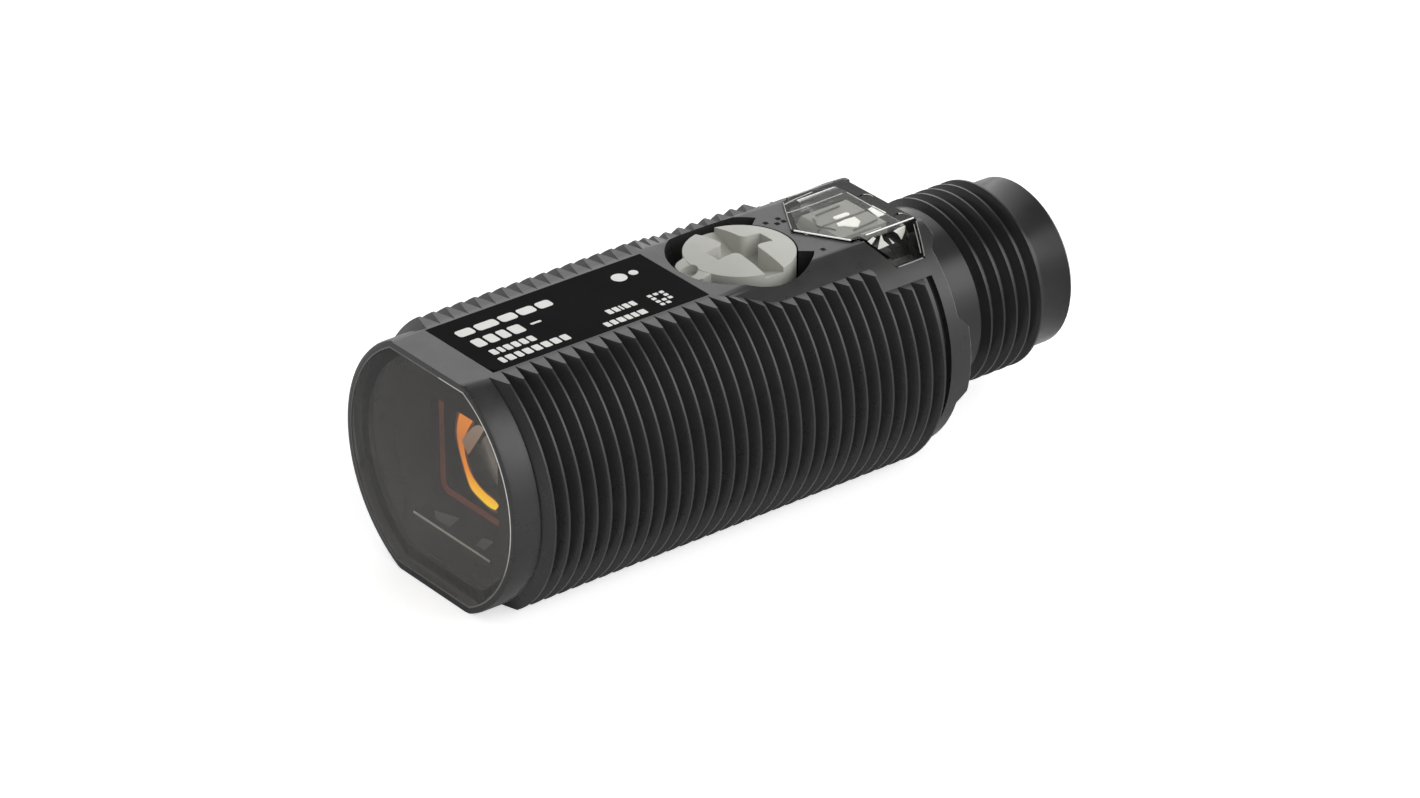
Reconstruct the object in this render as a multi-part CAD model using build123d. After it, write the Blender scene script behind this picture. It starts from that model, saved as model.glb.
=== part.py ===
from build123d import *
import os
import math

os.makedirs("parts", exist_ok=True)

# ---------------------------------------------------------------------------
# M18 photoelectric sensor with an M12 connector.
# Frame: origin on the barrel's axis at the front face, -Y the way it looks,
# +Y towards the connector, +Z up through the adjuster, millimetres.
# ---------------------------------------------------------------------------

# barrel
THREAD_R = 9.0            # M18 x 1
PITCH = 1.0
CREST_HALF = 0.065        # half width of the crest land
ROOT_R = 8.26             # bottom of the V grooves
CORE_R = 8.38             # plain parts of the barrel
FIRST_CREST_Y = 2.42      # crest at z = 0 on the +X side
CRESTS = 30
FLAT_Z = 7.5              # half the width across the two flats
RING_LEN = 1.9
RING_R = 8.36
RELIEF_Y0 = 32.06         # groove behind the thread
RELIEF_END = 32.42
RELIEF_R = 7.95
NOTCH_Y = 33.27           # rear rim is cut back to here in four places
BODY_END = 34.0
LIP_R = 7.97              # window seat
LIP_Z = 7.12
BORE_R = 7.1              # inside of the barrel
BORE_Z = 6.2

# window
WINDOW_Y0 = 0.06
WINDOW_T = 1.44
GASKET_T = 0.3

# optics
RECESS_Y = 3.9            # floor of the square recess round the lens
LENS_FLAT_Y = 6.2         # rear face of the lens

# adjuster
DIAL_Y = 22.88
DIAL_R = 3.4
DIAL_CROWN = 0.45
DIAL_FLOOR = 5.9
CROSS_FLOOR = 6.45
WELL_R = 4.45
WELL_FLOOR = 5.6
SHAFT_R = 1.5
SHAFT_CLEAR = 0.05
POINTER_HALF = 1.3
POINTER_R = 4.15
STOP_INNER_R = 3.5
STOP_HALF_DEG = 39.0

# clear cap
CAP_Z = 7.62
CAP_LEDGE_Z = 6.8
CAP_LEDGE_R = 7.7
CAP_END = 33.65

# label
LABEL_Y0, LABEL_Y1 = 2.35, 18.0
LABEL_HALF = 3.35
LABEL_T = 0.12

# connector
M12_R = 6.0
M12_ROOT_R = 5.42
M12_FIRST_Y = 37.6
M12_CRESTS = 5
NECK_R = 5.62
COLLAR_R = 5.38
SOCKET_R = 4.25
END_Y = 44.7
PIN_R = 0.5
PIN_CIRCLE_R = 2.69

# board
BOARD_Z0, BOARD_Z1 = 0.6, 1.6
BOARD_HALF = 6.55
BOARD_Y0, BOARD_Y1 = 14.2, 28.9


def ycyl(r, y0, y1, x=0.0, z=0.0):
    """Solid cylinder along Y."""
    return Pos(x, (y0 + y1) / 2, z) * Rot(90, 0, 0) * Cylinder(r, y1 - y0)


def zcyl(r, z0, z1, x=0.0, y=0.0):
    return Pos(x, y, (z0 + z1) / 2) * Cylinder(r, z1 - z0)


def box(x0, x1, y0, y1, z0, z1):
    return Pos((x0 + x1) / 2, (y0 + y1) / 2, (z0 + z1) / 2) * Box(x1 - x0, y1 - y0, z1 - z0)


def yspin(points):
    """Solid of revolution about Y from (radius, y) points."""
    w = Wire.make_polygon([Vector(r, y, 0) for r, y in points], close=True)
    return Solid.revolve(Face(w), 360, Axis.Y)


def zspin(points, x=0.0, y=0.0):
    """Solid of revolution about Z from (radius, z) points."""
    w = Wire.make_polygon([Vector(r, 0, z) for r, z in points], close=True)
    return Pos(x, y, 0) * Solid.revolve(Face(w), 360, Axis.Z)


def prism_xy(points, z0, z1):
    w = Wire.make_polygon([Vector(x, y, z0) for x, y in points], close=True)
    return Solid.extrude(Face(w), Vector(0, 0, z1 - z0))


def prism_yz(points, x0, x1):
    w = Wire.make_polygon([Vector(x0, y, z) for y, z in points], close=True)
    return Solid.extrude(Face(w), Vector(x1 - x0, 0, 0))


def prism_xz(points, y0, y1):
    w = Wire.make_polygon([Vector(x, y0, z) for x, z in points], close=True)
    return Solid.extrude(Face(w), Vector(0, y1 - y0, 0))


def flatted(r, half, y0, y1):
    """Round bar along Y with two flats."""
    return ycyl(r, y0, y1) & box(-20, 20, y0 - 1, y1 + 1, -half, half)


def one(shape):
    """The single solid of a shape."""
    s = shape.solids()
    assert len(s) == 1, len(s)
    return s[0]


def save(name, shape):
    export_step(shape, "parts/" + name + ".step")


# ---------------------------------------------------------------------------
# Plan outlines of the clear cap: a pointed nose on the flat, and a skirt on
# each side that tapers down the barrel
# ---------------------------------------------------------------------------
CAP_PLAN_R = [(0.0, 26.8), (3.3, 28.75), (3.4, 29.3), (3.85, 29.43), (5.65, 30.36),
              (5.65, 32.55), (3.5, CAP_END - 0.05), (3.3, CAP_END)]
CAP_PLAN = CAP_PLAN_R + [(-x, y) for x, y in reversed(CAP_PLAN_R[1:])]
INNER_R = [(0.0, 27.4), (2.75, 28.86), (2.75, 29.75), (3.6, 29.95), (4.95, 30.7),
           (4.95, 32.2), (3.75, 32.75), (2.9, 32.95)]
CAP_INNER = INNER_R + [(-x, y) for x, y in reversed(INNER_R[1:])]

# ---------------------------------------------------------------------------
# housing_barrel
# ---------------------------------------------------------------------------
c = 0.2
core = yspin([(0, 0), (RING_R - c, 0), (RING_R - 0.06, 0.06), (RING_R, c), (RING_R, RING_LEN - 0.1),
              (RING_R - 0.1, RING_LEN), (ROOT_R, RING_LEN + 0.06), (ROOT_R, RELIEF_Y0), (RELIEF_R, RELIEF_Y0 + 0.03),
              (RELIEF_R, RELIEF_END), (CORE_R, RELIEF_END),
              (CORE_R, BODY_END - 0.08), (CORE_R - 0.08, BODY_END), (0, BODY_END)])

# one tooth is a ring of 60 degree section, tilted by the thread's lead, so that
# the two sides together make a right-hand thread
lead = math.degrees(math.atan(PITCH / (2 * math.pi * THREAD_R)))
base_r = ROOT_R - 0.012
flank = math.tan(math.radians(30))


def tooth(y, side):
    hb = CREST_HALF + (THREAD_R - base_r) * flank
    ring = yspin([(base_r, -hb), (THREAD_R, -CREST_HALF), (THREAD_R, CREST_HALF), (base_r, hb)])
    ring = Pos(0, y, 0) * Rot(side * lead, 0, 0) * ring
    half = box(1.0, 10, y - 2, y + 2, -FLAT_Z, FLAT_Z) if side > 0 else box(-10, -1.0, y - 2, y + 2, -FLAT_Z, FLAT_Z)
    return ring & half


# above these heights the thread is cut away down to the plain core
thread_cut = [(18.2, 9.5), (18.2, 7.52), (19.2, 7.3), (20.2, 6.98), (21.2, 6.66), (21.9, 6.55), (28.55, 6.55),
              (28.75, 5.4), (RELIEF_END + 0.02, 5.4), (RELIEF_END + 0.02, 9.5)]
cut_prism = prism_yz(thread_cut, -10, 10)
cutter = prism_yz([(y + (1.0 if y > 32 else 0), z) for y, z in thread_cut], -10, 10) - ycyl(CORE_R, 17, 35)
filler = cut_prism & (ycyl(CORE_R, 17, 33) - ycyl(BORE_R + 0.4, 16, 34)) & box(-20, 20, 0, 40, -FLAT_Z, FLAT_Z)
teeth = []
for side in (1, -1):
    for i in range(CRESTS):
        y = FIRST_CREST_Y + i * PITCH + (0 if side > 0 else PITCH / 2)
        if y > 31.6:
            continue
        t = tooth(y, side)
        if y > 17.5:
            t = t - cutter
        teeth += [s for s in t.solids() if s.volume > 1e-4]

barrel = core & box(-20, 20, -1, 40, -FLAT_Z, FLAT_Z)
barrel = barrel.fuse(*teeth)
barrel = barrel.fuse(*filler.solids())
barrel = barrel - flatted(LIP_R, LIP_Z, -1, WINDOW_Y0 + WINDOW_T + GASKET_T)
barrel = barrel - flatted(BORE_R, BORE_Z, 1.0, 40)
# four notches in the rear rim
notch = prism_xy([(-2.14, NOTCH_Y), (2.14, NOTCH_Y), (3.0, BODY_END + 0.05), (-3.0, BODY_END + 0.05)], 6.0, 10)
for a in (54.7, -54.7, 125.3, -125.3):
    barrel = barrel - (Rot(0, a, 0) * notch)
# boss under the adjuster's well, and the card guides
boss = zcyl(5.4, 4.4, 6.6, 0, DIAL_Y) & flatted(BORE_R + 0.1, BORE_Z + 0.1, 5, 32)
barrel = barrel + boss
for s in (1, -1):
    for z0, z1 in ((BOARD_Z0 - 0.8, BOARD_Z0), (BOARD_Z1, BOARD_Z1 + 0.8)):
        g = box(min(s * 6.0, s * 7.4), max(s * 6.0, s * 7.4), BOARD_Y0 + 0.3, BOARD_Y1, z0, z1)
        g = g & flatted(BORE_R + 0.1, BORE_Z + 0.1, 5, 32)
        barrel = barrel + g
# adjuster's well with its rear stop
well = zcyl(WELL_R, WELL_FLOOR, 9.5, 0, DIAL_Y)
sa = math.radians(STOP_HALF_DEG)
stop_pts = [(0, DIAL_Y), (8 * math.sin(sa), DIAL_Y + 8 * math.cos(sa)), (0, DIAL_Y + 9),
            (-8 * math.sin(sa), DIAL_Y + 8 * math.cos(sa))]
stop = prism_xy(stop_pts, WELL_FLOOR - 1, 10) - zcyl(STOP_INNER_R, WELL_FLOOR - 2, 11, 0, DIAL_Y)
well = well - stop
barrel = barrel - well
barrel = barrel - zcyl(SHAFT_R + SHAFT_CLEAR, 3, 7, 0, DIAL_Y)
barrel = barrel - zcyl(2.55, 4.85, WELL_FLOOR + 1, 0, DIAL_Y)
# seat of the clear cap and the opening under it
ledge = flatted(CAP_LEDGE_R, CAP_LEDGE_Z, 20, 40)
seat = prism_xy(CAP_PLAN, 5.5, 10) - ledge
barrel = barrel - seat
opening = prism_xy(CAP_INNER, 5.8, 10)
barrel = barrel - opening
# the rim is cut back to the cap's rear face
barrel = barrel - box(-3.3, 3.3, CAP_END, 36, 6.3, 9)
# label recess
barrel = barrel - box(-LABEL_HALF, LABEL_HALF, LABEL_Y0, LABEL_Y1, FLAT_Z - LABEL_T + 0.02, 9)
housing_barrel = one(barrel)
save("housing_barrel", housing_barrel)

# ---------------------------------------------------------------------------
# front window and its gasket
# ---------------------------------------------------------------------------
g = 0.03
window = flatted(LIP_R - g, LIP_Z - g, WINDOW_Y0, WINDOW_Y0 + WINDOW_T)
window = window.chamfer(0.12, None, window.faces().sort_by(Axis.Y)[0].edges())
front_window = one(window)
save("front_window", front_window)

gy0 = WINDOW_Y0 + WINDOW_T
gasket = flatted(LIP_R - g, LIP_Z - g, gy0, gy0 + GASKET_T) - flatted(BORE_R + 0.1, BORE_Z + 0.1, gy0 - 1, gy0 + 2)
window_gasket = one(gasket)
save("window_gasket", window_gasket)

# ---------------------------------------------------------------------------
# optics: holder, lens, half mirror, emitter, receiver with its shield, board
# ---------------------------------------------------------------------------
HOLD_Y0 = gy0 + GASKET_T + 0.1
plate = flatted(BORE_R - 0.05, BORE_Z - 0.05, 3.2, 4.2)
step = box(-3.8, 3.8, HOLD_Y0 + 0.3, 3.4, -4.75, -4.35)
block = box(-4.4, 4.4, 3.4, 12.4, -5.0, 5.0)
holder = plate + step + block
recess = box(-3.3, 3.3, 0, RECESS_Y, -3.3, 3.3)
holder = holder - fillet(recess.edges().filter_by(Axis.Y), 0.7)
holder = holder - ycyl(3.05, 0, LENS_FLAT_Y + 0.02)      # lens seat
holder = holder - ycyl(2.6, 5, 7)                        # light path
holder = holder - box(-3, 3, 6.6, 11.0, -3, 3)           # mirror chamber
holder = holder - box(-1.6, 1.6, 10.5, 13, -1.6, 1.6)    # emitter pocket
holder = holder - zcyl(1.5, -4.5, -2, 0, 8.8)            # receiver port
holder = holder - box(-1.75, 1.75, 7.05, 10.55, -6, -3.9)  # receiver pocket
mirror_c = (0, 8.8, 0)
mirror_pose = Pos(*mirror_c) * Rot(-45, 0, 0)
holder = holder - (mirror_pose * Box(6.7, 0.54, 5.6))
optics_holder = one(holder)
save("optics_holder", optics_holder)

half_mirror = one(mirror_pose * Box(6.64, 0.5, 5.5))
save("half_mirror", half_mirror)

# plano-convex lens, convex side forward
ar = 2.95
sag = 0.75
rho = (ar * ar + sag * sag) / (2 * sag)
edge_y = LENS_FLAT_Y - 1.5
pts = [(0, LENS_FLAT_Y), (3.02, LENS_FLAT_Y), (3.02, edge_y), (ar, edge_y)]
n = 14
for k in range(1, n + 1):
    rr = ar * (1 - k / n)
    yy = edge_y - (math.sqrt(rho * rho - rr * rr) - (rho - sag))
    pts.append((max(rr, 0.0), yy))
objective_lens = yspin(pts)
save("objective_lens", objective_lens)

emitter = box(-1.55, 1.55, 11.5, 12.4, -1.55, 1.55) + ((Pos(0, 11.5, 0) * Sphere(1.05)) & box(-2, 2, 9, 11.6, -2, 2))
emitter_led = one(emitter)
save("emitter_led", emitter_led)

receiver = box(-1.7, 1.7, 7.1, 10.5, -4.98, -3.92)
receiver = receiver - zcyl(1.1, -4.02, -3.5, 0, 8.8)
receiver_photodiode = one(receiver)
save("receiver_photodiode", receiver_photodiode)

sh = box(-4.62, 4.62, 7.0, 11.2, -5.22, -5.02) + box(4.42, 4.62, 7.0, 11.2, -5.22, -3.4) + box(-4.62, -4.42, 7.0, 11.2, -5.22, -3.4)
sh = sh - zcyl(0.5, -6, -4, 3.2, 8.2) - zcyl(0.5, -6, -4, -3.2, 8.2)
receiver_shield = one(sh)
save("receiver_shield", receiver_shield)

ob = flatted(6.9, 6.0, 12.4, 13.2) - box(-8, 8, 12, 14, 5.2, 8)
ob = ob - ycyl(0.6, 12, 14, 5.2, 2.5) - ycyl(0.6, 12, 14, -5.2, 2.5)
optics_board = one(ob)
save("optics_board", optics_board)

# ---------------------------------------------------------------------------
# main board and what it carries
# ---------------------------------------------------------------------------
mb = box(-BOARD_HALF, BOARD_HALF, BOARD_Y0, BOARD_Y1, BOARD_Z0, BOARD_Z1)
for sx in (1, -1):
    mb = mb - box(min(sx * 5.4, sx * 7), max(sx * 5.4, sx * 7), 27.6, 30, 0, 2)
mb = mb - zcyl(0.4, 0, 2, 5.2, 15.4) - zcyl(0.4, 0, 2, -5.2, 15.4)
main_board = one(mb)
save("main_board", main_board)

flex = box(-2.5, 2.5, 13.2, 13.4, -2.6, 0.6) + box(-2.5, 2.5, 13.2, 16.2, 0.4, 0.6)
board_flex = one(flex)
save("board_flex", board_flex)

chip = box(-2.5, 2.5, 16.2, 19.4, BOARD_Z1, BOARD_Z1 + 0.9)
chip = chip - zcyl(0.3, BOARD_Z1 + 0.8, BOARD_Z1 + 1.2, -1.9, 16.8)
control_chip = one(chip)
save("control_chip", control_chip)

tr = box(-1.5, 1.5, 24.6, 26.2, BOARD_Z0 - 1.0, BOARD_Z0)
for dx in (-0.95, 0.95):
    tr = tr + box(dx - 0.2, dx + 0.2, 26.1, 26.7, BOARD_Z0 - 0.25, BOARD_Z0)
tr = tr + box(-0.2, 0.2, 24.1, 24.7, BOARD_Z0 - 0.25, BOARD_Z0)
output_transistor = one(tr)
save("output_transistor", output_transistor)

caps = []
for (x, y, top, w, l, h) in ((-4.6, 17.2, True, 0.8, 1.6, 0.8), (-4.6, 19.6, True, 0.8, 1.6, 0.8),
                             (4.6, 17.2, True, 0.8, 1.6, 0.8), (4.4, 25.8, True, 1.3, 2.0, 1.1),
                             (-4.4, 25.8, True, 1.3, 2.0, 1.1), (-3.8, 18.4, False, 2.5, 3.2, 1.6),
                             (3.6, 18.4, False, 1.3, 2.0, 1.1), (0.0, 20.6, False, 1.3, 2.0, 1.1)):
    z0, z1 = (BOARD_Z1, BOARD_Z1 + h) if top else (BOARD_Z0 - h, BOARD_Z0)
    caps.append(box(x - w / 2, x + w / 2, y - l / 2, y + l / 2, z0, z1))
board_capacitors = Compound(children=[one(b) for b in caps])
save("board_capacitors", board_capacitors)

op_led = box(-1.6, -0.4, 27.7, 28.7, BOARD_Z1, BOARD_Z1 + 0.6)
operation_led = one(op_led)
save("operation_led", operation_led)
st_led = box(0.4, 1.6, 27.7, 28.7, BOARD_Z1, BOARD_Z1 + 0.6)
stability_led = one(st_led)
save("stability_led", stability_led)

guide = prism_yz([(27.75, BOARD_Z1 + 0.65), (28.75, BOARD_Z1 + 0.65), (28.85, 4.7), (30.4, 6.45), (32.6, 6.45),
                  (32.6, 6.95), (29.1, 6.95), (28.55, 6.3), (28.45, 6.1), (28.3, 4.2), (27.75, 3.2)], -1.9, 1.9)
guide = guide - box(-0.12, 0.12, 20, 35, 5.2, 8)
light_guide = one(guide)
save("light_guide", light_guide)

# ---------------------------------------------------------------------------
# adjuster: potentiometer, rotor, seal and dial
# ---------------------------------------------------------------------------
tb = box(-2.5, 2.5, DIAL_Y - 2.3, DIAL_Y + 2.3, BOARD_Z1, BOARD_Z1 + 1.9) - zcyl(1.72, BOARD_Z1 + 0.5, 6, 0, DIAL_Y)
for dx in (-1.6, 1.6):
    tb = tb + box(dx - 0.25, dx + 0.25, DIAL_Y - 2.7, DIAL_Y - 2.2, BOARD_Z1, BOARD_Z1 + 0.5)
trimmer_body = one(tb)
save("trimmer_body", trimmer_body)

rt = zcyl(1.65, BOARD_Z1 + 0.55, BOARD_Z1 + 2.2, 0, DIAL_Y)
rt = rt - box(-0.42, 0.42, DIAL_Y - 1.3, DIAL_Y + 1.3, BOARD_Z1 + 1.2, 6)
trimmer_rotor = one(rt)
save("trimmer_rotor", trimmer_rotor)

# O-ring round the shaft, in the counterbore of the well
tor = Pos(0, DIAL_Y, 5.35) * Torus(2.03, 0.45)
dial_seal = one(tor)
save("dial_seal", dial_seal)

# dial: crowned head with a cross recess, a pointer, and a shaft with a snap collar
sph = (DIAL_R ** 2 + DIAL_CROWN ** 2) / (2 * DIAL_CROWN)
head = zcyl(DIAL_R, DIAL_FLOOR, 9, 0, DIAL_Y) & (Pos(0, DIAL_Y, FLAT_Z + DIAL_CROWN - sph) * Sphere(sph))
tip = zcyl(POINTER_R, DIAL_FLOOR, 8, 0, DIAL_Y) & prism_xy(
    [(-POINTER_HALF, DIAL_Y - 2), (-POINTER_HALF, DIAL_Y - 3.72), (-0.95, DIAL_Y - 4.2), (0.95, DIAL_Y - 4.2),
     (POINTER_HALF, DIAL_Y - 3.72), (POINTER_HALF, DIAL_Y - 2)], DIAL_FLOOR, 8)
tip = tip & prism_yz([(DIAL_Y - 5, DIAL_FLOOR), (DIAL_Y - 5, 7.0), (DIAL_Y - 4.2, 7.2), (DIAL_Y - 3.3, 7.48),
                      (DIAL_Y - 2, 7.5), (DIAL_Y - 2, DIAL_FLOOR)], -3, 3)
shaft = zspin([(0, 3.05), (1.1, 3.05), (1.3, 3.85), (1.78, 4.2), (1.78, 4.33), (SHAFT_R, 4.33), (SHAFT_R, DIAL_FLOOR + 0.5),
               (0, DIAL_FLOOR + 0.5)], 0, DIAL_Y)
blade = box(-0.38, 0.38, DIAL_Y - 1.05, DIAL_Y + 1.05, BOARD_Z1 + 1.3, 3.3)
low = box(-3, 3, DIAL_Y - 3, DIAL_Y + 3, 2.0, 3.85) - box(-0.38, 0.38, DIAL_Y - 1.25, DIAL_Y + 1.25, 1.5, 3.86)
dial = head + tip + (shaft - low) + blade
slot = prism_xz([(-4, 7.25), (-3.4, 7.22), (-1.3, CROSS_FLOOR), (1.3, CROSS_FLOOR), (3.4, 7.22), (4, 7.25), (4, 9), (-4, 9)],
                DIAL_Y - 0.7, DIAL_Y + 0.7)
cross = slot + box(-0.62, 0.62, DIAL_Y - 2.05, DIAL_Y + 2.05, CROSS_FLOOR, 9)
inner = [e for e in cross.edges().filter_by(Axis.Z) if abs(abs(e.center().X) - 0.62) < 0.01 and abs(abs(e.center().Y - DIAL_Y) - 0.7) < 0.01]
dial = dial - fillet(inner, 0.42)
dial = dial - zcyl(0.55, 6.95, 9, 0, DIAL_Y - 3.8)      # thumb mark in the pointer
adjuster_dial = one(dial)
save("adjuster_dial", adjuster_dial)

# ---------------------------------------------------------------------------
# clear cap
# ---------------------------------------------------------------------------
cap = prism_xy(CAP_PLAN, 5.5, 10) & flatted(CORE_R, CAP_Z, 26, BODY_END)
cap = cap - flatted(CAP_LEDGE_R, CAP_LEDGE_Z, 20, 40)
cap = cap - (prism_xy(CAP_INNER, 5.0, 10) & flatted(CORE_R - 0.45, CAP_Z - 0.4, 20, 40))
for x, y in ((-0.66, 33.12), (2.6, 33.12)):
    cap = cap - zcyl(0.42, CAP_Z - 0.05, 9, x, y)
indicator_cap = one(cap)
save("indicator_cap", indicator_cap)

# ---------------------------------------------------------------------------
# label
# ---------------------------------------------------------------------------
lab = box(-LABEL_HALF + 0.02, LABEL_HALF - 0.02, LABEL_Y0 + 0.02, LABEL_Y1 - 0.02, FLAT_Z - LABEL_T + 0.02, FLAT_Z + 0.02)
vert = lab.edges().filter_by(Axis.Z)
near = [e for e in vert if e.center().X > 0 and e.center().Y < 5]
rest = [e for e in vert if not (e.center().X > 0 and e.center().Y < 5)]
lab = fillet(near, 0.7)
label_plate = one(lab)
save("label_plate", label_plate)

# ---------------------------------------------------------------------------
# M12 connector
# ---------------------------------------------------------------------------
prof = [(0, 30.9), (BORE_R - 0.03, 30.9), (BORE_R - 0.03, BODY_END - 0.25), (NECK_R, BODY_END - 0.25), (NECK_R, 37.06)]
m_flank = math.tan(math.radians(30))
half_root = CREST_HALF + (M12_R - M12_ROOT_R) * m_flank
for i in range(M12_CRESTS):
    y = M12_FIRST_Y + i * PITCH
    prof += [(M12_ROOT_R, y - half_root - 0.02), (M12_R, y - CREST_HALF), (M12_R, y + CREST_HALF), (M12_ROOT_R, y + half_root + 0.02)]
last = M12_FIRST_Y + (M12_CRESTS - 1) * PITCH
prof += [(COLLAR_R, last + half_root + 0.1), (COLLAR_R, END_Y - 0.25), (COLLAR_R - 0.25, END_Y), (0, END_Y)]
shell = yspin(prof) & box(-20, 20, 30, 50, -BORE_Z + 0.03, BORE_Z - 0.03)
shell = shell - ycyl(SOCKET_R, 30, 50)
shell = shell - ycyl(4.85, 30, 32.0)
# groove for the rear seal
shell = shell - (flatted(8, 8, 31.6, 32.5) - flatted(BORE_R - 0.55, BORE_Z - 0.55, 31, 33))
# coding rib of the socket
rib = box(-0.6, 0.6, 36.4, 43.6, 3.55, 4.6)
shell = shell + rib
connector_shell = one(shell)
save("connector_shell", connector_shell)

seal = flatted(BORE_R - 0.02, BORE_Z - 0.02, 31.65, 32.45) - flatted(BORE_R - 0.55, BORE_Z - 0.55, 31, 33)
rear_seal = one(seal)
save("rear_seal", rear_seal)

carrier = ycyl(SOCKET_R - 0.02, 31, 36.4) + ycyl(4.82, 30.9, 31.98)
pins = []
for a in (45, 135, 225, 315):
    px, pz = PIN_CIRCLE_R * math.cos(math.radians(a)), PIN_CIRCLE_R * math.sin(math.radians(a))
    carrier = carrier - ycyl(PIN_R, 30, 38, px, pz)
    p = yspin([(0, 29.8), (PIN_R, 29.8), (PIN_R, 43.5), (0.42, 43.75), (0.2, 43.92), (0, 43.95)])
    pins.append(Pos(px, 0, pz) * p)
carrier = carrier - ycyl(0.4, 35.9, 38)
contact_carrier = one(carrier)
save("contact_carrier", contact_carrier)
contact_pins = Compound(children=[one(p) for p in pins])
save("contact_pins", contact_pins)

# four leads from the pins down to the board
leads = []
for a in (45, 135, 225, 315):
    px, pz = PIN_CIRCLE_R * math.cos(math.radians(a)), PIN_CIRCLE_R * math.sin(math.radians(a))
    top = pz > 0
    zb = BOARD_Z1 if top else BOARD_Z0
    w = ycyl(0.28, 28.1, 29.8, px, pz) + (Pos(px, 28.1, pz) * Sphere(0.28))
    w = w + zcyl(0.28, min(zb, pz), max(zb, pz), px, 28.1)
    if top:
        w = w & box(-9, 9, 20, 40, BOARD_Z1, 9)
    leads.append(one(w))
pin_leads = Compound(children=leads)
save("pin_leads", pin_leads)
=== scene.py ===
import bpy
import bmesh
import math
from mathutils import Matrix, Vector


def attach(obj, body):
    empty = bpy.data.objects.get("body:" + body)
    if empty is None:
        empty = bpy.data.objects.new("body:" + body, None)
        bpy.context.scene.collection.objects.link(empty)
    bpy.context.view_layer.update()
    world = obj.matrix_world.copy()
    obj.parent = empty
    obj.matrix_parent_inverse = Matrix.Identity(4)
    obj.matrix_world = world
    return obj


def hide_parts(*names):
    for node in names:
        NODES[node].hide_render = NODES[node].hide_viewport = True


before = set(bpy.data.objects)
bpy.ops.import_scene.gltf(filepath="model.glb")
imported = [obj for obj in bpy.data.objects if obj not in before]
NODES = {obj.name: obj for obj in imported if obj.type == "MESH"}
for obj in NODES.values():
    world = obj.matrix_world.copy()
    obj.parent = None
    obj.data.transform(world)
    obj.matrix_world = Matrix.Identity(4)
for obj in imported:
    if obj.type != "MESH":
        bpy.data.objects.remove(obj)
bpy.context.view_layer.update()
MM = 0.001

# ---------------------------------------------------------------------------
# camera: azimuth 52 and elevation 28 degrees, a long lens
# ---------------------------------------------------------------------------
AZ, EL, ROLL = math.radians(52.13), math.radians(28.34), math.radians(-0.29)
DIST, FOCAL_PX = 367.56, 6116.42
UX, UY = -3.46, -2.81
back = Vector((math.sin(AZ) * math.cos(EL), -math.cos(AZ) * math.cos(EL), math.sin(EL)))
right = (-back).cross(Vector((0, 0, 1))).normalized()
up = right.cross(-back).normalized()
r2 = right * math.cos(ROLL) + up * math.sin(ROLL)
u2 = -right * math.sin(ROLL) + up * math.cos(ROLL)
place = (Vector((0, 25, 0)) + right * UX + up * UY + back * DIST) * MM
cam_data = bpy.data.cameras.new("camera")
cam = bpy.data.objects.new("camera", cam_data)
bpy.context.scene.collection.objects.link(cam)
rot = Matrix((r2, u2, back)).transposed().to_4x4()
cam.matrix_world = Matrix.Translation(place) @ rot
cam_data.sensor_width = 36.0
cam_data.lens = FOCAL_PX / 1420.0 * 36.0
cam_data.clip_start = 0.02
cam_data.clip_end = 20.0
cam_data.dof.use_dof = False
bpy.context.scene.camera = cam
bpy.context.scene.view_settings.view_transform = "Standard"
bpy.context.scene.view_settings.look = "None"


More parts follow.
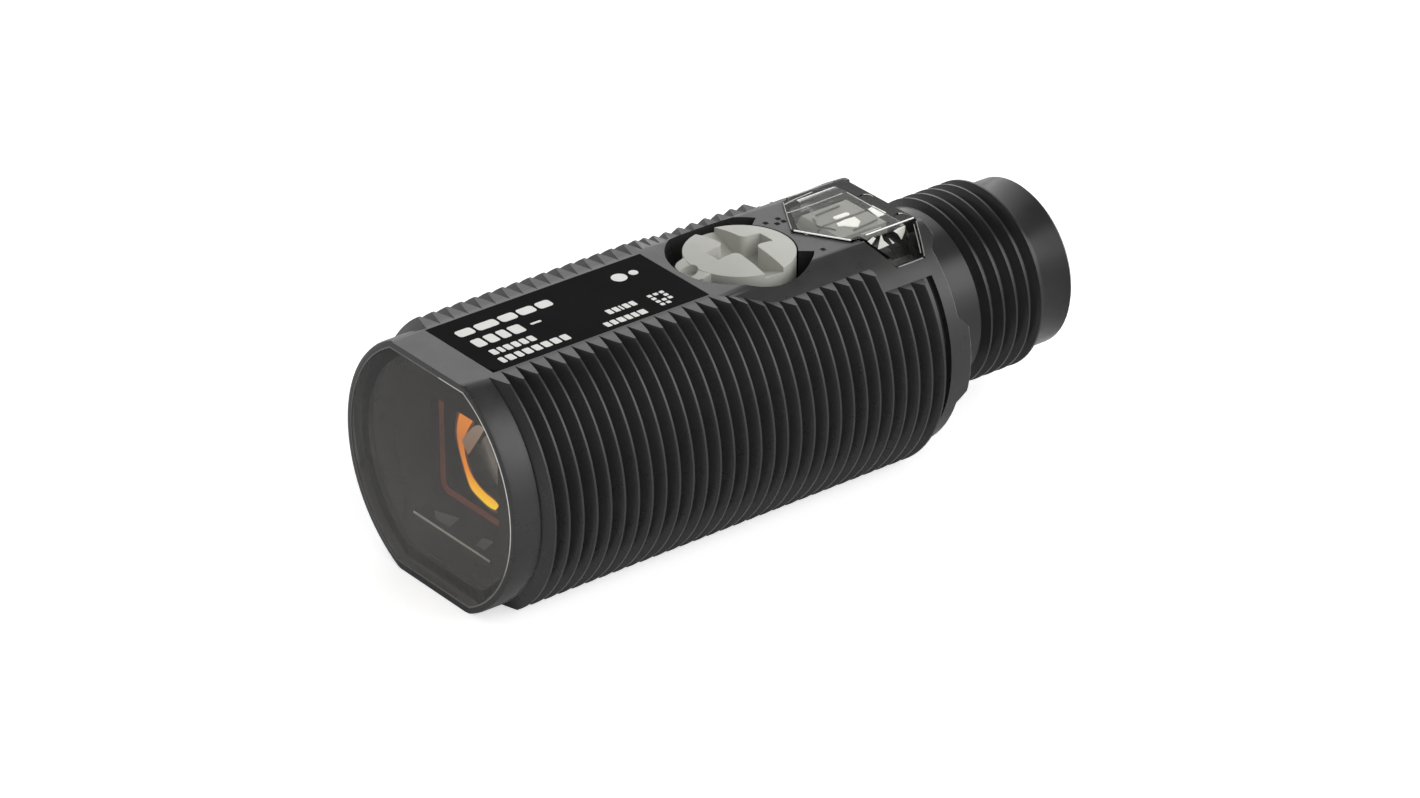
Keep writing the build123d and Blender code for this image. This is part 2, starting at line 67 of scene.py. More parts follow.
# ---------------------------------------------------------------------------
# node helpers for materials
# ---------------------------------------------------------------------------
class Mat:
    def __init__(self, name):
        self.m = bpy.data.materials.new(name)
        self.m.use_nodes = True
        self.t = self.m.node_tree
        self.b = self.t.nodes["Principled BSDF"]
        self.out = self.t.nodes["Material Output"]
        self.co = None

    def add(self, kind, **props):
        n = self.t.nodes.new(kind)
        for k, v in props.items():
            setattr(n, k, v)
        return n

    def link(self, a, b):
        self.t.links.new(a, b)

    def put(self, name, value):
        self.b.inputs[name].default_value = value

    def coords(self):
        if self.co is None:
            m = self.add("ShaderNodeVectorMath", operation="SCALE")
            m.inputs["Scale"].default_value = 1000.0
            tc = self.add("ShaderNodeTexCoord")
            self.link(tc.outputs["Object"], m.inputs[0])
            self.co = m.outputs[0]
        return self.co

    def noise(self, scale, detail=4.0, rough=0.55, stretch=None):
        n = self.add("ShaderNodeTexNoise")
        n.inputs["Scale"].default_value = scale
        n.inputs["Detail"].default_value = detail
        n.inputs["Roughness"].default_value = rough
        co = self.coords()
        if stretch:
            mp = self.add("ShaderNodeMapping")
            mp.inputs["Scale"].default_value = stretch
            self.link(co, mp.inputs["Vector"])
            co = mp.outputs[0]
        self.link(co, n.inputs["Vector"])
        return n.outputs["Fac"]

    def ramp(self, fac, stops):
        r = self.add("ShaderNodeValToRGB")
        e = r.color_ramp.elements
        while len(e) > 1:
            e.remove(e[-1])
        e[0].position, e[0].color = stops[0][0], (*stops[0][1], 1) if len(stops[0][1]) == 3 else stops[0][1]
        for p, c in stops[1:]:
            x = e.new(p)
            x.color = (*c, 1) if len(c) == 3 else c
        self.link(fac, r.inputs["Fac"])
        return r.outputs["Color"]

    def span(self, fac, lo, hi, a=0.0, b=1.0):
        m = self.add("ShaderNodeMapRange")
        m.inputs["From Min"].default_value = lo
        m.inputs["From Max"].default_value = hi
        m.inputs["To Min"].default_value = a
        m.inputs["To Max"].default_value = b
        self.link(fac, m.inputs["Value"])
        return m.outputs["Result"]

    def bump(self, fac, strength, dist_mm, base=None):
        n = self.add("ShaderNodeBump")
        n.inputs["Strength"].default_value = strength
        n.inputs["Distance"].default_value = dist_mm * MM
        self.link(fac, n.inputs["Height"])
        if base is not None:
            self.link(base, n.inputs["Normal"])
        return n.outputs["Normal"]

    def axis(self, k):
        n = self.add("ShaderNodeSeparateXYZ")
        self.link(self.coords(), n.inputs[0])
        return n.outputs[k]

    def math(self, op, *args, clamp=False):
        n = self.add("ShaderNodeMath", operation=op)
        n.use_clamp = clamp
        for i, a in enumerate(args):
            if hasattr(a, "links"):
                self.link(a, n.inputs[i])
            else:
                n.inputs[i].default_value = a
        return n.outputs[0]

    def mix(self, fac, a, b):
        n = self.add("ShaderNodeMix", data_type="RGBA")
        for sock, v in ((n.inputs[0], fac), (n.inputs[6], a), (n.inputs[7], b)):
            if hasattr(v, "links"):
                self.link(v, sock)
            elif isinstance(v, (int, float)):
                sock.default_value = v
            else:
                sock.default_value = (*v, 1) if len(v) == 3 else v
        return n.outputs[2]


def srgb(r, g, b):
    def f(c):
        c /= 255.0
        return c / 12.92 if c <= 0.04045 else ((c + 0.055) / 1.055) ** 2.4
    return (f(r), f(g), f(b))


def moulded(name, base, rough=0.42, grain=0.004, grain_scale=2.6, vary=0.12, wear=0.0, spec=0.5, coat=0.0, round_mm=0.0, spread=0.05, shine=None, lit=0.0):
    """Moulded plastic: fine grain, faint flow marks, slight tone changes, edges rubbed lighter."""
    m = Mat(name)
    cloud = m.noise(0.35, 3.0, 0.6)
    fine = m.noise(grain_scale, 1.0, 0.5)
    dark = tuple(c * (1 - vary) for c in base)
    light = tuple(min(1, c * (1 + vary)) for c in base)
    col = m.ramp(m.span(cloud, 0.3, 0.7), [(0.0, dark), (1.0, light)])
    if wear > 0:
        g = m.add("ShaderNodeNewGeometry")
        edge = m.span(g.outputs["Pointiness"], 0.52, 0.60, 0.0, wear)
        col = m.mix(edge, col, tuple(min(1, c * 1.9 + 0.015) for c in base))
    m.link(col, m.b.inputs["Base Color"])
    m.link(m.span(m.noise(0.9, 4.0), 0.3, 0.7, rough - spread, rough + spread), m.b.inputs["Roughness"])
    nrm = None
    if round_mm:
        bv = m.add("ShaderNodeBevel", samples=6)
        bv.inputs["Radius"].default_value = round_mm * MM
        nrm = bv.outputs["Normal"]
    m.link(m.bump(fine, 0.2, grain, nrm), m.b.inputs["Normal"])
    m.put("Specular IOR Level", spec)
    if shine:
        k, lo, hi, a, b = shine
        m.link(m.span(m.axis(k), lo, hi, a, b), m.b.inputs["Specular IOR Level"])
    # lit: painted glow, the base colour is also emitted as light
    if lit:
        m.link(col, m.b.inputs["Emission Color"])
        m.put("Emission Strength", lit)
    if coat:
        m.put("Coat Weight", coat)
        m.put("Coat Roughness", 0.12)
    return m.m


def clear(name, tint, rough=0.02, ior=1.5, mark=0.001, spec=0.5, open_to_light=0.85, painted_sheen=None):
    """Clear moulded plastic with faint waviness and a tint that varies slightly; shadow rays mostly pass through it. An
    optional emitted sheen is painted light standing in for reflection, stronger towards the bottom.
    """
    m = Mat(name)
    m.put("Transmission Weight", 1.0)
    m.put("IOR", ior)
    m.put("Specular IOR Level", spec)
    wave = m.noise(0.5, 1.0, 0.4)
    col = m.ramp(m.span(wave, 0.3, 0.7), [(0.0, tuple(c * 0.96 for c in tint)), (1.0, tint)])
    m.link(col, m.b.inputs["Base Color"])
    if rough > 0:
        m.link(m.span(m.noise(1.3, 3.0), 0.3, 0.7, max(0.0, rough - 0.01), rough + 0.01), m.b.inputs["Roughness"])
    else:
        m.put("Roughness", 0.0)
    if mark:
        m.link(m.bump(wave, 0.15, mark), m.b.inputs["Normal"])
    shade = m.add("ShaderNodeLightPath").outputs["Is Shadow Ray"]
    m.link(m.math("MULTIPLY_ADD", shade, -open_to_light, 1.0), m.b.inputs["Alpha"])
    # painted sheen: emitted light graded by height, strongest at the bottom
    if painted_sheen:
        m.put("Emission Color", (*painted_sheen[0], 1))
        level = m.span(m.axis(2), -6.5, 6.5, painted_sheen[1], painted_sheen[2])
        m.link(m.math("MULTIPLY", m.span(m.noise(0.25, 1.0), 0.3, 0.7, 0.93, 1.07), level), m.b.inputs["Emission Strength"])
    return m.m


def metal(name, base, rough=0.25, grain=0.004):
    m = Mat(name)
    m.put("Metallic", 1.0)
    n = m.noise(5.0, 4.0)
    col = m.ramp(m.span(n, 0.3, 0.7), [(0.0, tuple(c * 0.9 for c in base)), (1.0, base)])
    m.link(col, m.b.inputs["Base Color"])
    m.link(m.span(m.noise(1.7, 3.0), 0.3, 0.7, rough - 0.06, rough + 0.08), m.b.inputs["Roughness"])
    m.link(m.bump(m.noise(14.0, 2.0), 0.3, grain), m.b.inputs["Normal"])
    return m.m


def glow(name, stops, lo, hi, power, axis=2):
    """Lit surface whose colour runs along one axis between two heights in mm."""
    m = Mat(name)
    sep = m.add("ShaderNodeSeparateXYZ")
    m.link(m.coords(), sep.inputs[0])
    fac = m.span(sep.outputs[axis], lo, hi)
    col = m.ramp(fac, stops)
    m.link(col, m.b.inputs["Base Color"])
    m.link(col, m.b.inputs["Emission Color"])
    m.put("Emission Strength", power)
    m.put("Roughness", 0.3)
    return m.m


BLACK = moulded("black_plastic", srgb(46, 46, 46), rough=0.30, grain=0.003)
CONN = moulded("connector_plastic", srgb(42, 42, 42), rough=0.22, grain=0.002, shine=(1, 42.15, 42.3, 0.42, 0.17))
DIALM = moulded("grey_plastic", srgb(184, 184, 177), rough=0.5, grain=0.004, vary=0.04)
WINDOW = clear("smoked_window", srgb(186, 182, 177), rough=0.0, ior=1.30, mark=0.0, spec=0.0, open_to_light=0.7, painted_sheen=((1.0, 0.99, 0.95), 0.022, 0.0045))
CAPM = clear("clear_plastic", srgb(244, 244, 240), rough=0.0, ior=1.19, mark=0.0, spec=0.7, open_to_light=0.92)
LENS = clear("clear_lens", srgb(246, 240, 232), rough=0.0, ior=1.49, mark=0.0, spec=0.15)
GUIDE = moulded("frosted_guide", srgb(140, 140, 136), rough=0.35, vary=0.10, grain=0.002)
LABEL = moulded("label_black", srgb(33, 33, 33), rough=0.5, grain=0.002, vary=0.08, spec=0.0)
PRINT = moulded("label_print", srgb(226, 226, 222), rough=0.5, grain=0.003, vary=0.05)
HOLDER = moulded("holder_plastic", srgb(50, 44, 42), rough=0.6, spec=0.1)
RUBBER = moulded("black_rubber", srgb(24, 24, 24), rough=0.7, grain=0.02)
INSERT = moulded("insert_plastic", srgb(32, 32, 32), rough=0.5)
EPOXY = moulded("dark_epoxy", srgb(30, 30, 32), rough=0.45, grain=0.01)
LEDM = clear("led_epoxy", srgb(250, 140, 50), rough=0.05)
MIRROR = clear("mirror_glass", srgb(190, 200, 210), rough=0.01, ior=1.9)
TIN = metal("tin_plate", srgb(200, 200, 196), 0.28)
GOLD = metal("gold_plate", srgb(226, 184, 96), 0.2)
WIRE = metal("tinned_wire", srgb(205, 205, 200), 0.3)
# painted glow: white facets and edge rods that emit light
FACET_GLOW = moulded("facet_painted_glow", srgb(250, 250, 248), rough=0.25, vary=0.02, lit=0.25)
# painted shade: dark colour for the recessed index marks
RECESS_SHADE = moulded("mark_painted_shade", srgb(18, 18, 18), rough=0.7, spec=0.1)
WHITE = moulded("white_package", srgb(240, 240, 236), rough=0.4, vary=0.02)
ROTOR = moulded("white_rotor", srgb(228, 228, 220), rough=0.45, vary=0.03)
BLUE = moulded("trimmer_blue", srgb(40, 70, 150), rough=0.45)
TAN = moulded("ceramic_tan", srgb(170, 140, 105), rough=0.6)
FLEX = moulded("flex_film", srgb(196, 120, 40), rough=0.3, vary=0.05)


def board_material():
    m = Mat("circuit_board")
    m.put("Roughness", 0.3)
    weave = m.add("ShaderNodeTexBrick")
    weave.inputs["Scale"].default_value = 2.2
    weave.inputs["Color1"].default_value = (*srgb(20, 92, 48), 1)
    weave.inputs["Color2"].default_value = (*srgb(24, 100, 54), 1)
    weave.inputs["Mortar"].default_value = (*srgb(50, 140, 80), 1)
    weave.inputs["Mortar Size"].default_value = 0.03
    m.link(m.coords(), weave.inputs["Vector"])
    col = m.mix(m.span(m.noise(0.9), 0.35, 0.65), weave.outputs["Color"], srgb(16, 84, 44))
    m.link(col, m.b.inputs["Base Color"])
    m.link(m.bump(m.noise(6.0), 0.3, 0.01), m.b.inputs["Normal"])
    return m.m


BOARD = board_material()


# ---------------------------------------------------------------------------
# mesh helpers
# ---------------------------------------------------------------------------
def finish_mesh(o, angle=32.0):
    me = o.data
    if "custom_normal" in me.attributes:
        me.attributes.remove(me.attributes["custom_normal"])
    bm = bmesh.new()
    bm.from_mesh(me)
    bmesh.ops.remove_doubles(bm, verts=bm.verts, dist=2e-7)
    bmesh.ops.dissolve_degenerate(bm, edges=bm.edges, dist=2e-7)
    bmesh.ops.recalc_face_normals(bm, faces=bm.faces)
    for f in bm.faces:
        f.smooth = True
    lim = math.radians(angle)
    for e in bm.edges:
        if len(e.link_faces) == 2:
            e.smooth = e.calc_face_angle(0.0) < lim
        else:
            e.smooth = False
    bm.to_mesh(me)
    bm.free()
    me.update()


def put_material(o, mat):
    o.data.materials.clear()
    o.data.materials.append(mat)


def new_object(name, verts, faces, mat, body="sensor", angle=32.0, scale=MM):
    me = bpy.data.meshes.new(name)
    me.from_pydata([tuple(c * scale for c in v) for v in verts], [], faces)
    me.update()
    o = bpy.data.objects.new(name, me)
    bpy.context.scene.collection.objects.link(o)
    put_material(o, mat)
    finish_mesh(o, angle)
    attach(o, body)
    return o


def skin(node, name, mat, body="sensor", angle=32.0, bevel=0.0, segments=2):
    """A smooth-shaded copy of a CAD node that stands for it, its sharp edges eased."""
    o = NODES[node].copy()
    o.data = NODES[node].data.copy()
    for k in list(o.keys()):
        del o[k]
    o.parent = None
    o.matrix_world = Matrix.Identity(4)
    o.name = name
    o.data.name = name
    bpy.context.scene.collection.objects.link(o)
    put_material(o, mat)
    finish_mesh(o, angle)
    if bevel:
        b = o.modifiers.new("ease", "BEVEL")
        b.width = bevel * MM
        b.segments = segments
        b.limit_method = "ANGLE"
        b.angle_limit = math.radians(35)
        b.harden_normals = False
    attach(o, body)
    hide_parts(node)
    return o


def shade_cad(node, mat, angle=32.0):
    """Material for a CAD node that stays as it is."""
    o = NODES[node]
    put_material(o, mat)


# ---------------------------------------------------------------------------
# pieces
# ---------------------------------------------------------------------------
barrel = skin("housing_barrel", "barrel_body", BLACK)
window = skin("front_window", "window_pane", WINDOW)
conn = skin("connector_shell", "connector_body", CONN)
dial = skin("adjuster_dial", "dial_knob", DIALM, body="adjuster", bevel=0.06, segments=2)
cap = skin("indicator_cap", "clear_cap", CAPM)
lens = skin("objective_lens", "lens_body", LENS)
holder = skin("optics_holder", "lens_holder", HOLDER)
label = skin("label_plate", "label_panel", LABEL)
guide = skin("light_guide", "light_pipe", GUIDE)
pins = skin("contact_pins", "plug_pins", GOLD)
insert = skin("contact_carrier", "pin_insert", INSERT)

for node, mat in (("window_gasket", RUBBER), ("half_mirror", MIRROR), ("emitter_led", LEDM),
                  ("receiver_photodiode", EPOXY), ("receiver_shield", TIN), ("optics_board", BOARD),
                  ("main_board", BOARD), ("board_flex", FLEX), ("control_chip", EPOXY),
                  ("output_transistor", EPOXY), ("board_capacitors", TAN), ("operation_led", WHITE),
                  ("stability_led", WHITE), ("trimmer_body", BLUE), ("trimmer_rotor", ROTOR),
                  ("dial_seal", RUBBER), ("pin_leads", WIRE), ("rear_seal", RUBBER)):
    shade_cad(node, mat)


# ---------------------------------------------------------------------------
# small pieces made here, in millimetres
# ---------------------------------------------------------------------------
def slab(name, loops, where, mat, thick, body="sensor", angle=30.0):
    """Thin closed plates from outlines; where() turns (u, v, depth) into x, y, z."""
    verts, faces = [], []
    for loop in loops:
        n, k = len(loop), len(verts)
        verts += [where(u, v, 0.0) for u, v in loop] + [where(u, v, thick) for u, v in loop]
        faces.append(tuple(range(k, k + n)))
        faces.append(tuple(range(k + 2 * n - 1, k + n - 1, -1)))
        for i in range(n):
            j = (i + 1) % n
            faces.append((k + i, k + j, k + n + j, k + n + i))
    return new_object(name, verts, faces, mat, body, angle)


def round_rect(x0, x1, y0, y1, r, steps=5):
    pts = []
    for cx, cy, a0 in ((x1 - r, y1 - r, 0), (x0 + r, y1 - r, 90), (x0 + r, y0 + r, 180), (x1 - r, y0 + r, 270)):
        for i in range(steps + 1):
            a = math.radians(a0 + 90 * i / steps)
            pts.append((cx + r * math.cos(a), cy + r * math.sin(a)))
    return pts


def disc(x, y, r, n=20):
    return [(x + r * math.cos(2 * math.pi * i / n), y + r * math.sin(2 * math.pi * i / n)) for i in range(n)]


# the label's print: plain blocks and dots in rows, no lettering
def row(x0, x1, y0, widths, gap, r):
    out, y = [], y0
    for w in widths:
        out.append(round_rect(x0, x1, y, y + w, r))
        y += w + gap
    return out


marks = []
marks += row(-2.05, -1.25, 3.4, [1.15, 1.5, 1.15, 1.15, 1.0], 0.2, 0.22)
marks += row(-0.62, 0.38, 3.5, [0.7, 0.7, 0.62, 0.85], 0.2, 0.16)
marks += row(-0.2, 0.0, 7.55, [0.75], 0.2, 0.08)
marks += row(1.02, 1.68, 3.65, [0.42, 0.3, 0.42, 0.42, 0.42, 0.42], 0.14, 0.1)
marks += row(2.1, 2.78, 3.5, [0.34, 0.5, 0.4, 0.5, 0.5, 0.52, 0.52, 0.5], 0.16, 0.1)
marks += [disc(-1.62, 15.15, 0.5), disc(-1.62, 16.2, 0.3)]
marks += row(1.22, 1.78, 11.9, [0.36, 0.36, 0.14, 0.36, 0.36], 0.12, 0.06)
marks += row(2.42, 2.98, 10.85, [0.36, 0.36, 0.44, 0.36, 0.36, 0.5], 0.12, 0.06)
for i in range(4):
    for j in range(3):
        if (i, j) not in ((1, 1), (3, 2)):
            marks.append(round_rect(1.25 + 0.42 * i, 1.53 + 0.42 * i, 14.95 + 0.44 * j, 15.24 + 0.44 * j, 0.05, 2))
slab("label_print", marks, lambda u, v, d: (u, v, 7.518 + d), PRINT, 0.014)

# small moulded index marks on the flat in front of the cap, recessed; their dark colour is painted shade in the
# recesses
dots = [round_rect(x - 0.17, x + 0.17, y - 0.15, y + 0.15, 0.05, 2) for x, y in
        ((-1.87, 26.35), (-1.87, 27.3), (-1.38, 26.85), (-1.40, 27.35), (2.96, 26.87))]
slab("index_marks", dots, lambda u, v, d: (u, v, 7.499 + d), RECESS_SHADE, 0.008)


# light caught in the lens: a crescent just in front of its convex face
GLOW_Y = 3.9
GLOW_OUT = [(-0.85, 2.98), (-1.22, 2.70), (-1.50, 2.05), (-1.62, 1.25), (-1.56, 0.72), (-1.34, 0.02), (-1.06, -0.66), (-0.74, -1.32),
            (-0.30, -1.95), (0.58, -2.26), (1.45, -2.42), (2.05, -2.36)]
GLOW_IN = [(-0.06, 3.26), (0.08, 3.08), (0.00, 2.68), (-0.38, 2.10), (-0.76, 1.40), (-0.92, 0.42), (-0.70, -0.38), (-0.26, -1.02),
           (0.36, -1.42), (1.12, -1.66), (1.98, -1.76), (2.42, -1.92)]


def strip_mesh(name, a, b, mat, lift=0.03, cols=5, fine=4):
    def dense(p):
        q = []
        for i in range(len(p) - 1):
            p0, p1, p2, p3 = p[max(i - 1, 0)], p[i], p[i + 1], p[min(i + 2, len(p) - 1)]
            for k in range(fine):
                t = k / fine
                q.append(tuple(0.5 * (2 * p1[c] + (p2[c] - p0[c]) * t + (2 * p0[c] - 5 * p1[c] + 4 * p2[c] - p3[c]) * t * t
                                      + (3 * p1[c] - p0[c] - 3 * p2[c] + p3[c]) * t ** 3) for c in (0, 1)))
        q.append(p[-1])
        return q
    da, db = dense(a), dense(b)
    verts, faces, n = [], [], len(da)
    for layer in (0, 1):
        for i in range(n):
            for c in range(cols + 1):
                t = c / cols
                x, z = da[i][0] * (1 - t) + db[i][0] * t, da[i][1] * (1 - t) + db[i][1] * t
                verts.append((x, GLOW_Y - lift + layer * 0.02, z))
    def v(layer, i, c):
        return layer * n * (cols + 1) + i * (cols + 1) + c
    for i in range(n - 1):
        for c in range(cols):
            faces.append((v(0, i, c), v(0, i + 1, c), v(0, i + 1, c + 1), v(0, i, c + 1)))
            faces.append((v(1, i, c), v(1, i, c + 1), v(1, i + 1, c + 1), v(1, i + 1, c)))
        faces.append((v(0, i, 0), v(1, i, 0), v(1, i + 1, 0), v(0, i + 1, 0)))
        faces.append((v(0, i, cols), v(0, i + 1, cols), v(1, i + 1, cols), v(1, i, cols)))
    for c in range(cols):
        faces.append((v(0, 0, c), v(0, 0, c + 1), v(1, 0, c + 1), v(1, 0, c)))
        faces.append((v(0, n - 1, c), v(1, n - 1, c), v(1, n - 1, c + 1), v(0, n - 1, c + 1)))
    return new_object(name, verts, faces, mat, "sensor", 60)


AMBER = glow("amber_light", [(0.0, srgb(255, 226, 30)), (0.12, srgb(255, 190, 14)), (0.3, srgb(236, 142, 24)), (0.65, srgb(206, 120, 44)), (1.0, srgb(232, 140, 44))],
             -2.5, 2.9, 1.7)
strip_mesh("lens_light", GLOW_OUT, GLOW_IN, AMBER)
HALO = glow("amber_halo", [(0.0, srgb(150, 92, 40)), (0.4, srgb(120, 66, 40)), (1.0, srgb(140, 78, 44))], -2.7, 3.1, 0.35)
strip_mesh("lens_halo", [(x * 1.1 - 0.06, z * 1.07) for x, z in GLOW_OUT], [(x * 0.86 + 0.1, z * 0.93) for x, z in GLOW_IN], HALO, lift=0.005)
GLINT = glow("lens_glint", [(0.0, srgb(196, 150, 120)), (1.0, srgb(214, 196, 178))], 0.0, 2.6, 0.5)
slab("lens_glint", [[(-1.14, 0.86), (-0.75, 1.45), (0.22, 2.45), (0.95, 2.82), (1.2, 2.66), (0.5, 1.6), (-0.5, 0.2)]],
     lambda u, v, d: (u, GLOW_Y - 0.05 + d, v), GLINT, 0.015)

# the lit edge of the square frame round the lens
def square_band(half_out, half_in, r, y0, thick, name, mat):
    o, i = round_rect(-half_out, half_out, -half_out, half_out, r, 6), round_rect(-half_in, half_in, -half_in, half_in, max(r - (half_out - half_in), 0.1), 6)
    n = len(o)
    verts = [(x, y0, z) for x, z in o] + [(x, y0, z) for x, z in i] + [(x, y0 + thick, z) for x, z in o] + [(x, y0 + thick, z) for x, z in i]
    faces = []
    for k in range(n):
        j = (k + 1) % n
        faces += [(k, j, n + j, n + k), (2 * n + k, 3 * n + k, 3 * n + j, 2 * n + j), (k, 2 * n + k, 2 * n + j, j), (n + k, n + j, 3 * n + j, 3 * n + k)]
    return new_object(name, verts, faces, mat, "sensor")


EMBER = glow("ember_edge", [(0.0, srgb(136, 66, 44)), (0.5, srgb(112, 58, 44)), (1.0, srgb(140, 68, 42))], -3.3, 3.3, 0.5)
square_band(3.28, 2.9, 0.75, 3.8, 0.09, "frame_edge", EMBER)

# painted highlight: a glowing strip along the edge of the ledge under the lens
LEDGE_HIGHLIGHT = glow("ledge_painted_highlight", [(0.0, srgb(216, 216, 210)), (1.0, srgb(206, 206, 200))], -4, 4, 0.35, axis=0)
slab("ledge_edge", [round_rect(-3.78, 3.78, -4.48, -4.36, 0.03, 2)], lambda u, v, d: (u, 2.12 + d, v), LEDGE_HIGHLIGHT, 0.06)
# two small pads beside it, given a faint painted glow
PAD_GLOW = glow("pad_painted_glow", [(0.0, srgb(110, 110, 108)), (1.0, srgb(96, 96, 94))], -4, 4, 0.25, axis=0)
slab("lens_pads", [[(-2.33, -3.86), (-1.52, -3.71), (0.09, -3.33), (-1.17, -4.69), (-1.98, -4.92)], [(1.42, -4.75), (2.41, -4.57), (3.44, -3.45), (2.45, -3.62)]],
     lambda u, v, d: (u, 2.6 + d, v), PAD_GLOW, 0.08)

# white facets of the light guide under the cap, made bright with a painted glow
slab("guide_bars", [round_rect(-0.5, -0.13, 30.35, 31.5, 0.17), [(0.32, 30.07), (0.22, 30.8), (0.3, 31.47), (0.97, 31.35), (1.46, 30.78), (1.25, 30.52), (0.84, 30.25), (0.65, 29.89)],
                    [(-0.01, 32.75), (-0.08, 33.15), (1.16, 33.2), (1.17, 32.56)]], lambda u, v, d: (u, v, 6.97 + d), FACET_GLOW, 0.05)
slab("guide_fans", [[(29.94, 7.02), (30.45, 7.22), (30.62, 7.1), (30.29, 6.76)], [(31.05, 7.19), (31.23, 6.76), (31.66, 6.33), (30.8, 6.3)],
                    [(31.66, 6.77), (32.09, 6.34), (31.92, 6.32)], [(32.9, 7.2), (32.9, 6.9), (32.61, 6.4), (32.34, 6.85), (32.0, 7.11), (32.4, 7.2)]],
     lambda u, v, d: (3.28 - d, u, v), FACET_GLOW, 0.06)


def rods(name, lines, half, mat, lift=(0, 0, 1)):
    """Thin square-section lines along 3-D polylines: painted highlights for moulded edges that catch the light, and
    painted shade lines.
    """
    verts, faces = [], []
    for line in lines:
        pts = [Vector(p) for p in line]
        n, k = len(pts), len(verts)
        for i, p in enumerate(pts):
            t = (pts[min(i + 1, n - 1)] - pts[max(i - 1, 0)]).normalized()
            u = t.cross(Vector(lift)).normalized()
            w = u.cross(t).normalized()
            verts += [tuple(p + u * a * half + w * b * half) for a, b in ((1, 1), (-1, 1), (-1, -1), (1, -1))]
        for i in range(n - 1):
            for c in range(4):
                d = (c + 1) % 4
                faces.append((k + 4 * i + c, k + 4 * i + d, k + 4 * i + 4 + d, k + 4 * i + 4 + c))
        faces.append((k, k + 1, k + 2, k + 3))
        faces.append((k + 4 * n - 1, k + 4 * n - 2, k + 4 * n - 3, k + 4 * n - 4))
    return new_object(name, verts, faces, mat, "sensor", 30)


def on_core(x, y, r=8.375):
    return (x, y, math.sqrt(r * r - x * x))


# painted highlights along the moulded edges of the clear cap: thin glowing rods
CZ = 7.615
rods("cap_edges", [[(0.12, 26.93, CZ), (0.9, 27.38, CZ), (2.1, 28.09, CZ), (3.24, 28.78, CZ)],
                   [(3.27, 29.9, CZ), (3.27, 31.0, CZ), (3.27, 32.2, CZ), (3.27, 33.58, CZ)]], 0.035, FACET_GLOW)
# painted highlights: pale rods along the ridges of the cap
RIDGE_HIGHLIGHT = moulded("ridge_painted_highlight", srgb(186, 186, 181), rough=0.35, vary=0.08)
rods("cap_ridges", [[(-1.95, 28.05, CZ), (-1.88, 28.6, CZ), (-1.86, 30.0, CZ), (-1.9, 31.1, CZ), (-1.92, 32.3, CZ)],
                    [(3.05, 29.7, CZ), (3.05, 31.25, CZ)], [(-2.9, 28.6, CZ), (-3.1, 29.6, CZ), (-3.2, 31.0, CZ)],
                    ], 0.03, RIDGE_HIGHLIGHT)
# painted highlights: grey rods along the edges of the cap's skirt
SKIRT_HIGHLIGHT = moulded("skirt_edge", srgb(150, 150, 146), rough=0.3, vary=0.1)
rods("cap_skirt_edges", [[on_core(3.62, 33.5), on_core(4.3, 33.17), on_core(5.0, 32.83), on_core(5.55, 32.56)],
                    [on_core(3.75, 33.2), on_core(4.4, 32.88), on_core(5.0, 32.6), on_core(5.35, 32.43)],
                    [on_core(5.6, 32.4), on_core(5.61, 31.6), on_core(5.61, 30.5)]], 0.03, SKIRT_HIGHLIGHT)
# painted highlight: a grey rod along the edge of the rear rim
REAR_RIM_HIGHLIGHT = moulded("rim_edge", srgb(128, 128, 125), rough=0.3, vary=0.1)


def rear_edge(sign):
    pts = [(63.0, 33.97), (56.3, 33.97)] + [(50.1 - 29.6 * i / 8, 33.27) for i in range(9)] + [(14.3, 33.97), (7, 33.97), (0, 33.97), (-7, 33.97), (-14.3, 33.97)]
    pts += [(-20.5 - 29.6 * i / 8, 33.27) for i in range(9)] + [(-56.3, 33.97), (-63.0, 33.97)]
    out = []
    for a, y in pts:
        r = 8.35 if y < 33.5 else 8.31
        out.append((sign * r * math.cos(math.radians(a)), y - 0.01, r * math.sin(math.radians(a))))
    return out


rods("rear_rim_edge", [rear_edge(1), rear_edge(-1)], 0.028, REAR_RIM_HIGHLIGHT, lift=(0, 1, 0.01))
# the same painted highlights on the far side, which catches less light
rods("cap_far_edges", [[(-x, y, z) for x, y, z in line] for line in (
    [(0.12, 26.93, CZ), (0.9, 27.38, CZ), (2.1, 28.09, CZ), (3.24, 28.78, CZ)],
    [on_core(3.62, 33.5), on_core(4.3, 33.17), on_core(5.0, 32.83), on_core(5.55, 32.56)],
    [on_core(3.75, 33.2), on_core(4.4, 32.88), on_core(5.0, 32.6), on_core(5.35, 32.43)],
    [on_core(5.6, 32.4), on_core(5.61, 31.6), on_core(5.61, 30.5)])], 0.03, SKIRT_HIGHLIGHT)
# painted shade: dark lines inside the clear cap
CAP_SHADE_LINE = moulded("cap_painted_shade", srgb(58, 58, 56), rough=0.4, vary=0.1)
rods("cap_shadow_lines", [[(-1.33, 29.78, 6.98), (-1.38, 30.8, 6.98), (-1.44, 31.68, 6.98)], [(1.62, 30.3, 6.98), (1.5, 31.4, 6.98), (1.4, 32.3, 6.98)],
                          [(-1.1, 29.4, 6.98), (-0.2, 28.95, 6.98), (0.9, 29.5, 6.98)]], 0.05, CAP_SHADE_LINE)


